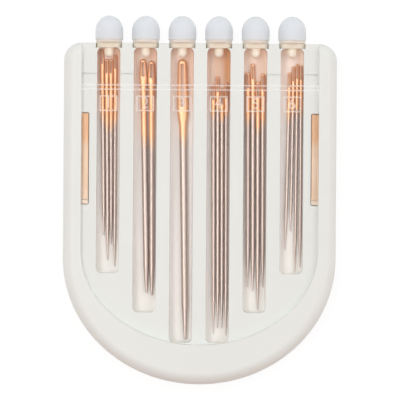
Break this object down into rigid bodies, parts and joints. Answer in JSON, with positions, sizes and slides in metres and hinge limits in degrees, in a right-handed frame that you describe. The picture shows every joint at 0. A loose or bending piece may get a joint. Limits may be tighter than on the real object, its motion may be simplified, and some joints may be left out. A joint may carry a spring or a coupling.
{
  "type": "craft needle set in a case",
  "caption": "Flat D-shaped case of white plastic with needle channels under a clear cover, domed pull-out stoppers, and gold-eyed craft needles that slide in the channels.",
  "frame": {"origin": "centre of the box round the case and its stoppers, on the back face that the case lies on", "axes": "+Z out of the clear front, +Y towards the stoppers, +X to the right as seen from the front"},
  "size_m": [0.0764, 0.1032, 0.0088],
  "materials": {
    "white_plastic": "moulded polystyrene, fine satin",
    "clear_plastic": "clear polystyrene, polished",
    "frosted_plastic": "frosted polyethylene, slightly translucent",
    "brass": "rolled strip, satin",
    "needle_steel": "nickel plated and polished, gold plated round the eye"
  },
  "bodies": {
    "case": {"tray": "white_plastic", "rear_cover": "white_plastic", "clear_cover": "clear_plastic", "left_strip": "brass", "right_strip": "brass"},
    "stopper_1": {"stopper_1": "frosted_plastic"},
    "stopper_2": {"stopper_2": "frosted_plastic"},
    "stopper_3": {"stopper_3": "frosted_plastic"},
    "stopper_4": {"stopper_4": "frosted_plastic"},
    "stopper_5": {"stopper_5": "frosted_plastic"},
    "stopper_6": {"stopper_6": "frosted_plastic"},
    "needle_1a": {"needle_1a": "needle_steel"},
    "needle_1b": {"needle_1b": "needle_steel"},
    "needle_1c": {"needle_1c": "needle_steel"},
    "needle_1d": {"needle_1d": "needle_steel"},
    "needle_2a": {"needle_2a": "needle_steel"},
    "needle_2b": {"needle_2b": "needle_steel"},
    "needle_3a": {"needle_3a": "needle_steel"},
    "needle_4a": {"needle_4a": "needle_steel"},
    "needle_4b": {"needle_4b": "needle_steel"},
    "needle_4c": {"needle_4c": "needle_steel"},
    "needle_4d": {"needle_4d": "needle_steel"},
    "needle_5a": {"needle_5a": "needle_steel"},
    "needle_5b": {"needle_5b": "needle_steel"},
    "needle_5c": {"needle_5c": "needle_steel"},
    "needle_5d": {"needle_5d": "needle_steel"},
    "needle_6a": {"needle_6a": "needle_steel"},
    "needle_6b": {"needle_6b": "needle_steel"},
    "needle_6c": {"needle_6c": "needle_steel"},
    "needle_6d": {"needle_6d": "needle_steel"}
  },
  "joints": [
    {"name": "stopper_1_pull", "type": "slide", "parent": "case", "child": "stopper_1", "axis": [0, 1, 0], "range_m": [0, 0.006]},
    {"name": "stopper_2_pull", "type": "slide", "parent": "case", "child": "stopper_2", "axis": [0, 1, 0], "range_m": [0, 0.006]},
    {"name": "stopper_3_pull", "type": "slide", "parent": "case", "child": "stopper_3", "axis": [0, 1, 0], "range_m": [0, 0.006]},
    {"name": "stopper_4_pull", "type": "slide", "parent": "case", "child": "stopper_4", "axis": [0, 1, 0], "range_m": [0, 0.006]},
    {"name": "stopper_5_pull", "type": "slide", "parent": "case", "child": "stopper_5", "axis": [0, 1, 0], "range_m": [0, 0.006]},
    {"name": "stopper_6_pull", "type": "slide", "parent": "case", "child": "stopper_6", "axis": [0, 1, 0], "range_m": [0, 0.006]},
    {"name": "needle_1a_slide", "type": "slide", "parent": "case", "child": "needle_1a", "axis": [0, 1, 0], "range_m": [-0.0102, 0.0003]},
    {"name": "needle_1b_slide", "type": "slide", "parent": "case", "child": "needle_1b", "axis": [0, 1, 0], "range_m": [-0.0032, 0.0002]},
    {"name": "needle_1c_slide", "type": "slide", "parent": "case", "child": "needle_1c", "axis": [0, 1, 0], "range_m": [-0.0077, 0.0002]},
    {"name": "needle_1d_slide", "type": "slide", "parent": "case", "child": "needle_1d", "axis": [0, 1, 0], "range_m": [-0.0015, 0.0016]},
    {"name": "needle_2a_slide", "type": "slide", "parent": "case", "child": "needle_2a", "axis": [0, 1, 0], "range_m": [-0.0051, 0.0002]},
    {"name": "needle_2b_slide", "type": "slide", "parent": "case", "child": "needle_2b", "axis": [0, 1, 0], "range_m": [-0.0043, 0.0006]},
    {"name": "needle_3a_slide", "type": "slide", "parent": "case", "child": "needle_3a", "axis": [0, 1, 0], "range_m": [-0.0004, 0.0002]},
    {"name": "needle_4a_slide", "type": "slide", "parent": "case", "child": "needle_4a", "axis": [0, 1, 0], "range_m": [-0.0021, 0.007]},
    {"name": "needle_4b_slide", "type": "slide", "parent": "case", "child": "needle_4b", "axis": [0, 1, 0], "range_m": [-0.0037, 0.0048]},
    {"name": "needle_4c_slide", "type": "slide", "parent": "case", "child": "needle_4c", "axis": [0, 1, 0], "range_m": [-0.0037, 0.0082]},
    {"name": "needle_4d_slide", "type": "slide", "parent": "case", "child": "needle_4d", "axis": [0, 1, 0], "range_m": [-0.0015, 0.0065]},
    {"name": "needle_5a_slide", "type": "slide", "parent": "case", "child": "needle_5a", "axis": [0, 1, 0], "range_m": [-0.0068, 0.0037]},
    {"name": "needle_5b_slide", "type": "slide", "parent": "case", "child": "needle_5b", "axis": [0, 1, 0], "range_m": [-0.0057, 0.0012]},
    {"name": "needle_5c_slide", "type": "slide", "parent": "case", "child": "needle_5c", "axis": [0, 1, 0], "range_m": [-0.0004, 0.0062]},
    {"name": "needle_5d_slide", "type": "slide", "parent": "case", "child": "needle_5d", "axis": [0, 1, 0], "range_m": [-0.0068, 0.004]},
    {"name": "needle_6a_slide", "type": "slide", "parent": "case", "child": "needle_6a", "axis": [0, 1, 0], "range_m": [-0.0063, 0.0036]},
    {"name": "needle_6b_slide", "type": "slide", "parent": "case", "child": "needle_6b", "axis": [0, 1, 0], "range_m": [-0.0116, 0.0019]},
    {"name": "needle_6c_slide", "type": "slide", "parent": "case", "child": "needle_6c", "axis": [0, 1, 0], "range_m": [-0.0004, 0.0012]},
    {"name": "needle_6d_slide", "type": "slide", "parent": "case", "child": "needle_6d", "axis": [0, 1, 0], "range_m": [-0.0015, 0.0015]}
  ]
}
